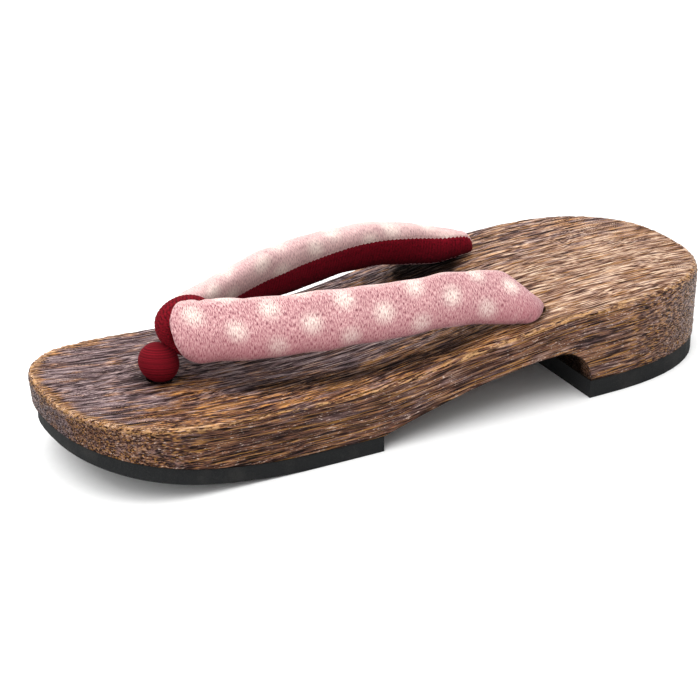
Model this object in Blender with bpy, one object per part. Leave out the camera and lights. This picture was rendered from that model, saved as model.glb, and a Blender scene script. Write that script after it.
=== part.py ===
"""A low women's geta: a carved wooden base on two rubber soles, with a padded V strap and a toe thong.

Metres, +Z up. +X runs from the heel to the toe, and the origin is on the ground under the middle of the base.
The base is symmetric about the XZ plane, so it fits either foot.
"""

import math

import bmesh
import bpy

# Base, seen from above
LENGTH = 0.241            # heel to toe
WIDTH = 0.080             # widest, at the heel
TOE_CAP = 0.0465          # length of the rounded toe
HEEL_CAP = 0.057          # length of the rounded heel
TOE_SQUARENESS = 2.45     # superellipse exponent: 2 is an ellipse, more is squarer
HEEL_SQUARENESS = 2.5
END_DRAFT = 0.0010        # how far the toe and heel walls lean in at the underside

# Base, seen from the side
HEEL_HEIGHT = 0.0326      # deck above the ground, at its highest under the heel
EDGE_ROUND = 0.0020       # radius of the deck's rounded edge
HEEL_BLOCK = 0.061        # heel back to the front face of the heel block
FRONT_BLOCK = 0.101       # toe to the rear end of the front block
ARCH_HEIGHT = 0.0189      # highest point of the arch above the ground
ARCH_BEND = 1.6           # how late the arch falls toward the front block
NOTCH_RADIUS = 0.0125     # quarter-round notch in front of the heel block
TOE_SPRING = 0.0137       # rise of the underside at the toe
SPRING_LENGTH = 0.074     # length over which the underside rises
SPRING_POWER = 1.7        # how late the rise comes

# Rubber soles
FRONT_RUBBER = 0.0053     # thickness
HEEL_RUBBER = 0.0063
RUBBER_INSET = 0.0004     # how far the rubber stays inside the wall of the wood
TOE_INSET = 0.0012        # the same at the tip of the toe
GLUE_GAP = 0.0003         # kept between pieces that are glued or lie on each other

# Strap
STRAP_WIDTH = 0.0215      # across the padded band
STRAP_THICKNESS = 0.0090
STRAP_CLEAR = 0.0094      # lower edge of the band above the deck, at its highest
REAR_HOLE_X = 0.0764      # from the heel back
REAR_HOLE_SPREAD = 0.054  # between the two rear holes
REAR_HOLE_RADIUS = 0.0042
TAIL_SLACK = 0.0008       # between the strap's tail and its hole
PAD_BEHIND = 0.0010       # length of the padding behind the middle of the rear hole
STRAP_FRONT_X = 0.1943    # from the heel back to the front of the padding
JOINT_X = 0.1908          # from the heel back to the middle of the joint of the two arms
JOINT_LENGTH = 0.0068     # along the foot
JOINT_HEIGHT = 0.0070
JOINT_DROP = 0.0012       # middle of the joint below the middle of the band
JOINT_GRIP = 0.4          # how far the joint runs into each arm, as a share of STRAP_THICKNESS
KNOT_RADIUS = 0.0056      # knot of the tail under the arch
KNOT_HEIGHT = 0.0044

# Toe thong
FRONT_HOLE_X = 0.2005     # from the heel back
FRONT_HOLE_RADIUS = 0.0044
THONG_THICKNESS = 0.0066  # of the cord, in the plane of the loop
THONG_WIDTH = 0.0078      # of the cord, across the foot
ROLL_RADIUS = 0.0066      # padded roll that sits in the mouth of the front hole
CORD_CLEARANCE = 0.0003   # between a cord and its hole, and between the thong and the strap

# Mesh detail
CAP_STEPS = 14
SIDE_STEPS = 22
NOTCH_STEPS = 8
ROUND_STEPS = 4
ARM_STEPS = 26
PAD_END_STEPS = 3
BAND_SIDES = 24
CORD_SIDES = 16
LOOP_STEPS = 28
SHARP_ANGLE = 35          # degrees: a sharper edge than this is shaded as an edge
CUT_MARGIN = 0.005        # how far a cutter reaches past what it cuts

# Deck height along the base, as shares of LENGTH from the heel and of HEEL_HEIGHT
DECK_PROFILE = (
    (0.00, 0.960),
    (0.14, 1.000),
    (0.28, 0.975),
    (0.42, 0.865),
    (0.56, 0.725),
    (0.71, 0.700),
    (0.86, 0.755),
    (1.00, 0.880),
)

# Half width along the base, as shares of LENGTH from the heel and of WIDTH / 2
SIDE_PROFILE = (
    (0.00, 0.995),
    (0.22, 1.000),
    (0.42, 0.990),
    (0.62, 0.980),
    (0.80, 0.962),
    (1.00, 0.985),
)

# Strap arm. along: 0 at the rear end of the padding, 1 at its front. spread: share of half REAR_HOLE_SPREAD.
# clear: lower edge of the band above the deck, as a share of STRAP_CLEAR. width, thickness: shares of the
# band's. lean: degrees that the band's face is turned up from upright.
ARM_SECTIONS = (
    # along, spread, clear, width, thickness, lean
    (0.000, 1.00, 0.00, 0.60, 0.62, 60),
    (0.020, 1.00, 0.00, 0.74, 0.72, 58),
    (0.060, 1.00, 0.00, 0.84, 0.80, 52),
    (0.105, 0.99, 0.04, 0.87, 0.90, 43),
    (0.155, 0.98, 0.18, 0.87, 0.95, 34),
    (0.215, 0.97, 0.39, 0.86, 1.00, 27),
    (0.295, 0.97, 0.62, 0.86, 1.00, 22),
    (0.410, 0.93, 0.81, 0.88, 1.00, 19),
    (0.550, 0.83, 0.96, 0.91, 1.00, 20),
    (0.695, 0.69, 1.00, 0.92, 1.00, 27),
    (0.820, 0.52, 0.99, 0.95, 1.00, 33),
    (0.920, 0.36, 0.95, 1.00, 1.00, 33),
    (1.000, 0.25, 0.93, 0.99, 0.94, 33),
)


def smooth_curve(points, at):
    """Read a table of (x, y) at one x, with a smooth curve through its points."""
    xs = [p[0] for p in points]
    ys = [p[1] for p in points]
    slopes = []
    for i in range(len(xs)):
        before = max(i - 1, 0)
        after = min(i + 1, len(xs) - 1)
        slopes.append((ys[after] - ys[before]) / (xs[after] - xs[before]))
    i = 0
    while i < len(xs) - 2 and at > xs[i + 1]:
        i += 1
    step = xs[i + 1] - xs[i]
    t = min(max((at - xs[i]) / step, 0.0), 1.0)
    rise = ys[i + 1] - ys[i]
    bend_in = slopes[i] * step
    bend_out = slopes[i + 1] * step
    return (
        ys[i]
        + bend_in * t
        + (3 * rise - 2 * bend_in - bend_out) * t * t
        + (bend_in + bend_out - 2 * rise) * t * t * t
    )


def arch_end():
    """Distance from the heel back to the rear end of the front block, where the arch ends."""
    return LENGTH - FRONT_BLOCK


def notch_top():
    """Distance from the heel back to the front end of the quarter-round notch."""
    return HEEL_BLOCK + NOTCH_RADIUS


def spring_start():
    """Distance from the heel back to where the underside starts to rise."""
    return LENGTH - SPRING_LENGTH


def pad_rear():
    """Distance from the heel back to the rear end of the strap's padding."""
    return REAR_HOLE_X - PAD_BEHIND


def along_arm(s):
    """Share of the padding's length at the distance s from the heel back."""
    return (s - pad_rear()) / (STRAP_FRONT_X - pad_rear())


def deck_height(s):
    """Height of the deck at the distance s from the heel back."""
    return HEEL_HEIGHT * smooth_curve(DECK_PROFILE, s / LENGTH)


def ground_rise(s):
    """Height of the front sole's underside above the ground: the toe spring."""
    run = max(0.0, s - spring_start()) / SPRING_LENGTH
    return TOE_SPRING * min(run, 1.0) ** SPRING_POWER


def wood_underside(s):
    """Height of the wood's underside at the distance s from the heel back."""
    front_seat = FRONT_RUBBER + GLUE_GAP
    heel_seat = HEEL_RUBBER + GLUE_GAP
    if s <= HEEL_BLOCK:
        return heel_seat
    if s >= arch_end():
        return front_seat + ground_rise(s)
    if s < notch_top():
        across = (notch_top() - s) / NOTCH_RADIUS
        return heel_seat + (ARCH_HEIGHT - heel_seat) * math.sqrt(1.0 - across * across)
    along = (s - notch_top()) / (arch_end() - notch_top())
    return front_seat + (ARCH_HEIGHT - front_seat) * (1.0 - along ** ARCH_BEND)


def outline(inset, toe_back, heel_forward):
    """Half outline of the base from the heel to the toe, as (s, half width) pairs.

    inset moves it in all round; toe_back and heel_forward shorten its two ends.
    """
    heel_end = inset + heel_forward
    toe_end = LENGTH - inset - toe_back
    pairs = []
    for i in range(CAP_STEPS):
        angle = 0.5 * math.pi * i / CAP_STEPS
        reach = (HEEL_CAP - heel_end) * math.cos(angle) ** (2 / HEEL_SQUARENESS)
        pairs.append((HEEL_CAP - reach, math.sin(angle) ** (2 / HEEL_SQUARENESS)))
    side_start = HEEL_CAP
    side_end = LENGTH - TOE_CAP
    for i in range(SIDE_STEPS):
        pairs.append((side_start + (side_end - side_start) * i / SIDE_STEPS, 1.0))
    for i in range(CAP_STEPS + 1):
        angle = 0.5 * math.pi * i / CAP_STEPS
        reach = (toe_end - side_end) * max(math.sin(angle), 0.0) ** (2 / TOE_SQUARENESS)
        pairs.append((side_end + reach, max(math.cos(angle), 0.0) ** (2 / TOE_SQUARENESS)))
    result = []
    for s, cap in pairs:
        half = 0.5 * WIDTH * smooth_curve(SIDE_PROFILE, s / LENGTH) - inset
        result.append((s, half * cap))
    return result


def half_width(pairs, s):
    """Half width of an outline at the distance s from the heel back."""
    for (s0, y0), (s1, y1) in zip(pairs, pairs[1:]):
        if s0 <= s <= s1:
            return y0 + (y1 - y0) * (s - s0) / max(s1 - s0, 1e-9)
    return 0.0


def cut_outline(pairs, start, end, extra):
    """The part of an outline from start to end, with points added at the distances in extra."""
    inner = [s for s, y in pairs if start < s < end]
    stops = sorted(set([start, end] + inner + [s for s in extra if start < s < end]))
    kept = [stops[0]]
    for s in stops[1:]:
        if s - kept[-1] > 1e-5:
            kept.append(s)
    kept[-1] = end
    return [(s, half_width(pairs, s)) for s in kept]


def material(name, color, roughness):
    """A plain material of one colour."""
    made = bpy.data.materials.new(name)
    made.use_nodes = True
    shader = made.node_tree.nodes["Principled BSDF"]
    shader.inputs["Base Color"].default_value = (*color, 1.0)
    shader.inputs["Roughness"].default_value = roughness
    return made


def new_object(name, bm, made_of):
    """Turn a bmesh into an object with outward faces and one material."""
    bmesh.ops.recalc_face_normals(bm, faces=bm.faces)
    mesh = bpy.data.meshes.new(name)
    bm.to_mesh(mesh)
    bm.free()
    mesh.materials.append(made_of)
    mesh.shade_smooth()
    mesh.set_sharp_from_angle(angle=math.radians(SHARP_ANGLE))
    thing = bpy.data.objects.new(name, mesh)
    bpy.context.scene.collection.objects.link(thing)
    return thing


def stacked_body(name, rings, made_of):
    """A closed body from half outlines stacked upward.

    Each ring is a list of (s, half width, z). All rings have as many points, and each is mirrored to
    the far side. The first and last rings are closed by strips from side to side.
    """
    bm = bmesh.new()
    loops = []
    for ring in rings:
        near = [bm.verts.new((s - LENGTH / 2, y, z)) for s, y, z in ring]
        far = []
        for (s, y, z), vert in zip(ring, near):
            if y < 1e-6:
                far.append(vert)
            else:
                far.append(bm.verts.new((s - LENGTH / 2, -y, z)))
        loops.append((near, far))
    for (near, far), (near_up, far_up) in zip(loops, loops[1:]):
        for side, side_up in ((near, near_up), (far, far_up)):
            for i in range(len(side) - 1):
                bm.faces.new((side[i], side[i + 1], side_up[i + 1], side_up[i]))
        for end in (0, -1):
            if near[end] is not far[end]:
                bm.faces.new((near[end], near_up[end], far_up[end], far[end]))
    for near, far in (loops[0], loops[-1]):
        for i in range(len(near) - 1):
            corners = [near[i], near[i + 1], far[i + 1], far[i]]
            bm.faces.new(list(dict.fromkeys(corners)))
    return new_object(name, bm, made_of)


def apply_boolean(target, tool, operation):
    """Join or cut the target with the tool, and remove the tool."""
    modifier = target.modifiers.new(operation.title(), "BOOLEAN")
    modifier.operation = operation
    modifier.object = tool
    bpy.context.view_layer.update()
    evaluated = target.evaluated_get(bpy.context.evaluated_depsgraph_get())
    result = bpy.data.meshes.new_from_object(evaluated)
    target.modifiers.remove(modifier)
    target.data = result
    bpy.data.objects.remove(tool)
    result.shade_smooth()
    result.set_sharp_from_angle(angle=math.radians(SHARP_ANGLE))


def upright_cylinder(name, s, y, bottom, top, radius, made_of):
    """A cylinder that stands at the distance s from the heel back."""
    bm = bmesh.new()
    bmesh.ops.create_cone(
        bm, cap_ends=True, segments=CORD_SIDES, radius1=radius, radius2=radius, depth=top - bottom
    )
    bmesh.ops.translate(bm, verts=bm.verts, vec=(s - LENGTH / 2, y, (bottom + top) / 2))
    return new_object(name, bm, made_of)


def ellipsoid(name, s, y, z, radii, made_of):
    """A ball with three radii."""
    bm = bmesh.new()
    bmesh.ops.create_uvsphere(bm, u_segments=CORD_SIDES, v_segments=CORD_SIDES // 2 + 2, radius=1.0)
    bmesh.ops.scale(bm, verts=bm.verts, vec=radii)
    bmesh.ops.translate(bm, verts=bm.verts, vec=(s - LENGTH / 2, y, z))
    return new_object(name, bm, made_of)


def swept_body(name, sections, closed, made_of):
    """A skin over sections, each a list of points: a closed ring of them, or a run with capped ends."""
    bm = bmesh.new()
    rows = [[bm.verts.new(point) for point in section] for section in sections]
    pairs = list(zip(rows, rows[1:]))
    if closed:
        pairs.append((rows[-1], rows[0]))
    for row, after in pairs:
        for i in range(len(row)):
            j = (i + 1) % len(row)
            bm.faces.new((row[i], row[j], after[j], after[i]))
    if not closed:
        bm.faces.new(rows[0])
        bm.faces.new(rows[-1])
    return new_object(name, bm, made_of)


def arm_place(along):
    """Size and place of a strap arm's section: s, y, z, half width, half thickness, lean in radians."""
    spread, clear, width, thickness, lean = (
        smooth_curve([(row[0], row[column]) for row in ARM_SECTIONS], along) for column in range(1, 6)
    )
    s = pad_rear() + along * (STRAP_FRONT_X - pad_rear())
    half_width = 0.5 * STRAP_WIDTH * width
    half_thickness = 0.5 * STRAP_THICKNESS * thickness
    turn = math.radians(lean)
    half_height = math.hypot(half_width * math.cos(turn), half_thickness * math.sin(turn))
    lower_edge = deck_height(s) + 2 * GLUE_GAP + max(clear, 0.0) * STRAP_CLEAR
    return s, spread * REAR_HOLE_SPREAD / 2, lower_edge + half_height, half_width, half_thickness, turn


def arm_section(along, side, shrink=1.0, ahead=0.0):
    """One padded section of a strap arm, upright across the foot, as a list of points.

    shrink scales the section and ahead moves it along the foot, for the arm's rounded ends.
    """
    s, center_y, center_z, half_width, half_thickness, turn = arm_place(along)
    points = []
    for i in range(BAND_SIDES):
        angle = 2 * math.pi * i / BAND_SIDES
        up_band = half_width * shrink * math.cos(angle)
        out_band = half_thickness * shrink * math.sin(angle)
        y = side * (center_y + out_band * math.cos(turn) - up_band * math.sin(turn))
        z = center_z + out_band * math.sin(turn) + up_band * math.cos(turn)
        points.append((s + ahead - LENGTH / 2, y, z))
    return points


def joint_height():
    """Height of the middle of the joint of the two arms."""
    return arm_place(along_arm(JOINT_X))[2] - JOINT_DROP


def strap_arm(name, side, made_of):
    """One arm of the strap, with rounded ends."""
    rear_round = arm_place(0.0)[4]
    front_round = arm_place(1.0)[4]
    angles = [0.5 * math.pi * (i + 1) / (PAD_END_STEPS + 1) for i in range(PAD_END_STEPS)]
    sections = []
    for angle in angles:
        sections.append(arm_section(0.0, side, math.sin(angle), -rear_round * math.cos(angle)))
    for i in range(ARM_STEPS + 1):
        sections.append(arm_section(i / ARM_STEPS, side))
    for angle in reversed(angles):
        sections.append(arm_section(1.0, side, math.sin(angle), front_round * math.cos(angle)))
    return swept_body(name, sections, False, made_of)


def thong_loop(name, grow, made_of):
    """The closed loop of the thong in the XZ plane, round the joint of the strap, thickened by grow."""
    center_z = joint_height()
    inner_x = JOINT_LENGTH / 2 + CORD_CLEARANCE
    inner_z = JOINT_HEIGHT / 2 + CORD_CLEARANCE
    cord = THONG_THICKNESS / 2
    sections = []
    for i in range(LOOP_STEPS):
        around = 2 * math.pi * i / LOOP_STEPS
        out = (math.cos(around), 0.0, math.sin(around))
        middle = (
            JOINT_X - LENGTH / 2 + (inner_x + cord) * out[0],
            0.0,
            center_z + (inner_z + cord) * out[2],
        )
        section = []
        for k in range(CORD_SIDES):
            angle = 2 * math.pi * k / CORD_SIDES
            radial = (cord + grow) * math.cos(angle)
            across = (THONG_WIDTH / 2 + grow) * math.sin(angle)
            section.append((middle[0] + radial * out[0], across, middle[2] + radial * out[2]))
        sections.append(section)
    return swept_body(name, sections, True, made_of)


def build_base(wood):
    """The one-piece wooden base with its three strap holes."""
    stops = [arch_end(), spring_start()]
    for i in range(NOTCH_STEPS + 1):
        angle = 0.5 * math.pi * i / NOTCH_STEPS
        stops.append(HEEL_BLOCK + NOTCH_RADIUS * (1.0 - math.cos(angle)))
    rings = []
    bottom = outline(0.0, END_DRAFT, END_DRAFT)
    levels = [(bottom, None)]
    for i in range(ROUND_STEPS + 1):
        angle = 0.5 * math.pi * i / ROUND_STEPS
        inset = EDGE_ROUND * (1.0 - math.cos(angle))
        levels.append((outline(inset, 0.0, 0.0), EDGE_ROUND * (1.0 - math.sin(angle))))
    for pairs, below_deck in levels:
        first = pairs[0][0]
        last = pairs[-1][0]
        stretched = cut_outline(pairs, first, last, stops)
        ring = []
        for s, y in stretched:
            if below_deck is None:
                ring.append((s, y, wood_underside(s)))
            else:
                ring.append((s, y, deck_height(s) - below_deck))
        rings.append(ring)
    base = stacked_body("wooden_base", rings, wood)
    rear_y = REAR_HOLE_SPREAD / 2
    holes = (
        (REAR_HOLE_X, rear_y, REAR_HOLE_RADIUS),
        (REAR_HOLE_X, -rear_y, REAR_HOLE_RADIUS),
        (FRONT_HOLE_X, 0.0, FRONT_HOLE_RADIUS),
    )
    for s, y, radius in holes:
        hole = upright_cylinder("hole", s, y, -CUT_MARGIN, deck_height(s) + CUT_MARGIN, radius, wood)
        apply_boolean(base, hole, "DIFFERENCE")
    return base


def build_soles(rubber):
    """The two rubber soles, which follow the outline of the wood just inside its wall."""
    pairs = outline(RUBBER_INSET, END_DRAFT + TOE_INSET, END_DRAFT)
    front = cut_outline(pairs, arch_end(), pairs[-1][0], [spring_start()])
    stacked_body(
        "front_rubber_sole",
        [[(s, y, ground_rise(s)) for s, y in front], [(s, y, ground_rise(s) + FRONT_RUBBER) for s, y in front]],
        rubber,
    )
    heel = cut_outline(pairs, pairs[0][0], HEEL_BLOCK, [])
    stacked_body(
        "heel_rubber_sole", [[(s, y, 0.0) for s, y in heel], [(s, y, HEEL_RUBBER) for s, y in heel]], rubber
    )


def build_strap(cloth):
    """The V strap: two padded arms, their joint, and a tail with a knot through each rear hole."""
    strap = strap_arm("strap", 1, cloth)
    apply_boolean(strap, strap_arm("far_arm", -1, cloth), "UNION")
    apply_boolean(strap, thong_loop("thong_channel", CORD_CLEARANCE, cloth), "DIFFERENCE")
    reach = THONG_WIDTH / 2 + STRAP_THICKNESS * JOINT_GRIP
    joint = ellipsoid(
        "joint", JOINT_X, 0.0, joint_height(), (JOINT_LENGTH / 2, reach, JOINT_HEIGHT / 2), cloth
    )
    apply_boolean(strap, joint, "UNION")
    tail_radius = REAR_HOLE_RADIUS - TAIL_SLACK
    knot_z = wood_underside(REAR_HOLE_X) - 2 * GLUE_GAP - KNOT_HEIGHT / 2
    top = arm_place(along_arm(REAR_HOLE_X))[2]
    for side in (1, -1):
        y = side * REAR_HOLE_SPREAD / 2
        tail = upright_cylinder("tail", REAR_HOLE_X, y, knot_z, top, tail_radius, cloth)
        apply_boolean(strap, tail, "UNION")
        radii = (KNOT_RADIUS, KNOT_RADIUS, KNOT_HEIGHT / 2)
        apply_boolean(strap, ellipsoid("knot", REAR_HOLE_X, y, knot_z, radii, cloth), "UNION")
    return strap


def build_thong(velvet):
    """The toe thong: a loop round the strap's joint, a padded roll on the deck and a tail in the hole."""
    thong = thong_loop("toe_thong", 0.0, velvet)
    rim = deck_height(FRONT_HOLE_X + FRONT_HOLE_RADIUS) + GLUE_GAP
    roll_z = rim + math.sqrt(ROLL_RADIUS ** 2 - FRONT_HOLE_RADIUS ** 2) + GLUE_GAP
    roll = ellipsoid("roll", FRONT_HOLE_X, 0.0, roll_z, (ROLL_RADIUS,) * 3, velvet)
    apply_boolean(thong, roll, "UNION")
    bottom = wood_underside(FRONT_HOLE_X + FRONT_HOLE_RADIUS) + GLUE_GAP
    tail = upright_cylinder(
        "tail", FRONT_HOLE_X, 0.0, bottom, roll_z, FRONT_HOLE_RADIUS - CORD_CLEARANCE, velvet
    )
    apply_boolean(thong, tail, "UNION")
    return thong


def main():
    for thing in list(bpy.data.objects):
        bpy.data.objects.remove(thing)
    wood = material("scorched_wood", (0.10, 0.05, 0.03), 0.4)
    rubber = material("charcoal_rubber", (0.03, 0.03, 0.03), 0.8)
    cloth = material("pink_crepe", (0.62, 0.33, 0.36), 0.85)
    velvet = material("crimson_velvet", (0.30, 0.01, 0.02), 0.8)
    build_base(wood)
    build_soles(rubber)
    build_strap(cloth)
    build_thong(velvet)


main()
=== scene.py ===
"""Looks of a low women's geta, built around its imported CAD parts.

A carved paulownia base, scorched, brushed and lacquered; two charcoal rubber soles; a padded V strap of
dotted pink crepe lined with crimson velvet; a crimson velvet toe thong. Metres, +X to the toe, +Z up.
"""

import math

import bmesh
import bpy
import numpy as np
from mathutils import Matrix, Vector


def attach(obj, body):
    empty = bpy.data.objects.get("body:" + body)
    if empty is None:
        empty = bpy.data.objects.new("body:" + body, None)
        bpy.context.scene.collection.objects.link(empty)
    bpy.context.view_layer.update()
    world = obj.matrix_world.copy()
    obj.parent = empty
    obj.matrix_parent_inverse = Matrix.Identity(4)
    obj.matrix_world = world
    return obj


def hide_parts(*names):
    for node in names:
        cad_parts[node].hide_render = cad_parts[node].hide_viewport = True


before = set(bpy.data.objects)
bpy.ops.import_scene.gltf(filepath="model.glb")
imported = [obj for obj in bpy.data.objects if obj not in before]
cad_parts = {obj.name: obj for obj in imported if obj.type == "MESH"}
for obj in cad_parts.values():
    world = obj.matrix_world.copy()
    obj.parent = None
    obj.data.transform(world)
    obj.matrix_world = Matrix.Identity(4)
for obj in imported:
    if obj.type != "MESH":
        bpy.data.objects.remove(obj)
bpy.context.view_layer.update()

MM = 0.001

# Base, the same sizes as in the part's source
LENGTH = 0.241
WIDTH = 0.080
TOE_CAP = 0.0465
HEEL_CAP = 0.057
TOE_SQUARENESS = 2.45
HEEL_SQUARENESS = 2.5
END_DRAFT = 0.0010
HEEL_HEIGHT = 0.0326
HEEL_BLOCK = 0.061
FRONT_BLOCK = 0.101
ARCH_HEIGHT = 0.0189
ARCH_BEND = 1.6
NOTCH_RADIUS = 0.0125
TOE_SPRING = 0.0137
SPRING_LENGTH = 0.074
SPRING_POWER = 1.7
FRONT_RUBBER = 0.0053
HEEL_RUBBER = 0.0063
GLUE_GAP = 0.0003
ARCH_END_X = LENGTH - FRONT_BLOCK
NOTCH_TOP_X = HEEL_BLOCK + NOTCH_RADIUS
SPRING_START_X = LENGTH - SPRING_LENGTH

# Strap and thong, the same sizes as in the part's source
STRAP_WIDTH = 0.0215
STRAP_THICKNESS = 0.0090
STRAP_CLEAR = 0.0094
REAR_HOLE_X = 0.0764
REAR_HOLE_SPREAD = 0.054
REAR_HOLE_RADIUS = 0.0042
TAIL_SLACK = 0.0008
PAD_BEHIND = 0.0010
PAD_REAR_X = REAR_HOLE_X - PAD_BEHIND
STRAP_FRONT_X = 0.1943
JOINT_X = 0.1908
JOINT_LENGTH = 0.0068
JOINT_HEIGHT = 0.0070
JOINT_DROP = 0.0012
JOINT_GRIP = 0.4
KNOT_RADIUS = 0.0056
KNOT_HEIGHT = 0.0044
FRONT_HOLE_X = 0.2005
FRONT_HOLE_RADIUS = 0.0044
THONG_THICKNESS = 0.0066
THONG_WIDTH = 0.0078
ROLL_RADIUS = 0.0066
CORD_CLEARANCE = 0.0003

# Detail of the brushed wood
HEEL_STEPS = 56
TOE_STEPS = 84
SIDE_STEPS = 84
NOTCH_STEPS = 14
WALL_LEVELS = 24
ROUND_LEVELS = 6
DECK_COLUMNS = 200
UNDERSIDE_COLUMNS = 12
HEEL_EDGE_ROUND = 0.0028
TOE_EDGE_ROUND = 0.0017
BRUSHED_DEPTH = 0.00034   # ridge to groove on the deck
WALL_DEPTH = 0.00042
RIM_DEPTH = 0.00090       # on the toe's rim, where the brushed ridges run out

DECK_PROFILE = (
    (0.00, 0.960), (0.14, 1.000), (0.28, 0.975), (0.42, 0.865),
    (0.56, 0.725), (0.71, 0.700), (0.86, 0.755), (1.00, 0.880),
)
SIDE_PROFILE = (
    (0.00, 0.995), (0.22, 1.000), (0.42, 0.990), (0.62, 0.980), (0.80, 0.962), (1.00, 0.985),
)

# Strap arms. along: 0 at the rear end of the padding, 1 at its front. spread: share of half REAR_HOLE_SPREAD.
# clear: lower edge above the deck, as a share of STRAP_CLEAR. lean: degrees that the face is turned up.
# The near arm lies down flat on its rear end, and the far arm stands up on its own.
NEAR_ARM = (
    # along, spread, clear, width, thickness, lean
    (0.000, 1.00, 0.00, 0.66, 0.60, 80),
    (0.020, 1.00, 0.00, 0.84, 0.72, 76),
    (0.060, 1.00, 0.00, 0.96, 0.86, 65),
    (0.105, 0.99, 0.04, 0.93, 0.94, 51),
    (0.155, 0.98, 0.18, 0.87, 0.95, 39),
    (0.215, 0.97, 0.37, 0.83, 1.00, 30),
    (0.295, 0.97, 0.62, 0.82, 1.00, 23),
    (0.410, 0.93, 0.80, 0.83, 1.00, 19),
    (0.550, 0.83, 0.94, 0.87, 1.00, 20),
    (0.695, 0.69, 0.97, 0.90, 1.00, 27),
    (0.820, 0.52, 0.95, 0.93, 1.00, 33),
    (0.920, 0.36, 0.92, 0.97, 1.00, 34),
    (1.000, 0.25, 0.90, 0.96, 0.94, 34),
)
FAR_ARM = (
    (0.000, 0.84, 0.00, 0.47, 0.95, 4),
    (0.020, 0.84, 0.00, 0.50, 1.00, 4),
    (0.060, 0.85, 0.00, 0.58, 1.00, 6),
    (0.105, 0.88, 0.04, 0.68, 1.00, 12),
    (0.155, 0.92, 0.15, 0.77, 1.05, 18),
    (0.215, 0.95, 0.34, 0.82, 1.10, 22),
    (0.295, 0.96, 0.57, 0.86, 1.15, 22),
    (0.410, 0.93, 0.75, 0.92, 1.20, 21),
    (0.550, 0.83, 0.80, 1.03, 1.22, 22),
    (0.695, 0.69, 0.80, 1.06, 1.22, 26),
    (0.820, 0.52, 0.80, 1.00, 1.20, 31),
    (0.920, 0.36, 0.83, 0.92, 1.12, 33),
    (1.000, 0.25, 0.84, 0.90, 0.94, 33),
)

# The lining's upper seam: from the heel back, and its height above the band's middle as a share of half width
NEAR_SEAM = ((0.070, 0.08), (0.082, 0.20), (0.105, 0.40), (0.200, 0.40))
FAR_SEAM = (
    (0.070, 0.80), (0.080, 0.70), (0.100, 0.62), (0.125, 0.48), (0.150, 0.30), (0.180, 0.20), (0.200, 0.20),
)


def read_table(points, at):
    """Read a table of (x, y) at an array of places, with a smooth curve through its points."""
    xs = np.array([p[0] for p in points], float)
    ys = np.array([p[1] for p in points], float)
    index = np.arange(len(xs))
    before = np.maximum(index - 1, 0)
    after = np.minimum(index + 1, len(xs) - 1)
    slopes = (ys[after] - ys[before]) / (xs[after] - xs[before])
    i = np.clip(np.searchsorted(xs, at, side="left") - 1, 0, len(xs) - 2)
    step = xs[i + 1] - xs[i]
    t = np.clip((at - xs[i]) / step, 0.0, 1.0)
    rise = ys[i + 1] - ys[i]
    bend_in = slopes[i] * step
    bend_out = slopes[i + 1] * step
    square = (3 * rise - 2 * bend_in - bend_out) * t * t
    return ys[i] + bend_in * t + square + (bend_in + bend_out - 2 * rise) * t * t * t


def ease(value, start, end):
    """0 before start, 1 after end, and a smooth step between them."""
    t = np.clip((value - start) / (end - start), 0.0, 1.0)
    return t * t * (3 - 2 * t)


def deck_height(s):
    """Height of the deck at the distances s from the heel back."""
    return HEEL_HEIGHT * read_table(DECK_PROFILE, s / LENGTH)


def wood_underside(s):
    """Height of the wood's underside at the distances s from the heel back."""
    front_seat = FRONT_RUBBER + GLUE_GAP
    heel_seat = HEEL_RUBBER + GLUE_GAP
    run = np.clip((s - SPRING_START_X) / SPRING_LENGTH, 0.0, 1.0)
    front = front_seat + TOE_SPRING * run ** SPRING_POWER
    across = np.clip((NOTCH_TOP_X - s) / NOTCH_RADIUS, 0.0, 1.0)
    notch = heel_seat + (ARCH_HEIGHT - heel_seat) * np.sqrt(1.0 - across * across)
    along = np.clip((s - NOTCH_TOP_X) / (ARCH_END_X - NOTCH_TOP_X), 0.0, 1.0)
    arch = front_seat + (ARCH_HEIGHT - front_seat) * (1.0 - along ** ARCH_BEND)
    middle = np.where(s < NOTCH_TOP_X, notch, arch)
    return np.where(s <= HEEL_BLOCK, heel_seat, np.where(s >= ARCH_END_X, front, middle))


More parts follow.
